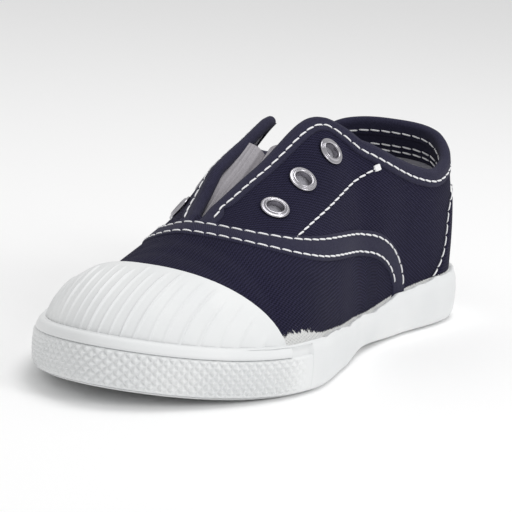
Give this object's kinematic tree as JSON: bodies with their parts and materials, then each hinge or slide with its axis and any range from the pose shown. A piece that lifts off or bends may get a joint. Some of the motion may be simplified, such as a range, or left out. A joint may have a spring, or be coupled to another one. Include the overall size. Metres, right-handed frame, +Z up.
{
  "type": "canvas sneaker",
  "caption": "Child's low canvas slip-on sneaker with a split elastic throat, metal eyelets, stitched seams, and a white rubber sole, ribbed toe cap and knurled toe bumper.",
  "frame": {"origin": "on the floor, under the middle of the shoe's bounding box", "axes": "toe toward -Y, heel toward +Y, medial side toward +X, +Z up"},
  "size_m": [0.0728, 0.172, 0.0589],
  "materials": {
    "white_rubber": "satin moulded rubber, ribbed on the toe cap and knurled on the bumper",
    "navy_canvas": "matte corded cotton duck, bound with navy tape and stitched in white",
    "grey_elastic": "matte woven elastic",
    "grey_lining": "matte cotton lining and insole cover",
    "white_thread": "matte sewing thread",
    "nickel": "polished nickel plate"
  },
  "bodies": {
    "root": {"outsole": "white_rubber", "toe_bumper": "white_rubber", "toe_strip": "white_rubber", "toe_cap": "white_rubber", "upper": "navy_canvas", "gusset": "grey_elastic", "insole": "grey_lining", "eyelet_medial_1": "nickel", "eyelet_medial_2": "nickel", "eyelet_medial_3": "nickel", "eyelet_lateral_1": "nickel", "eyelet_lateral_2": "nickel", "eyelet_lateral_3": "nickel"}
  },
  "joints": []
}
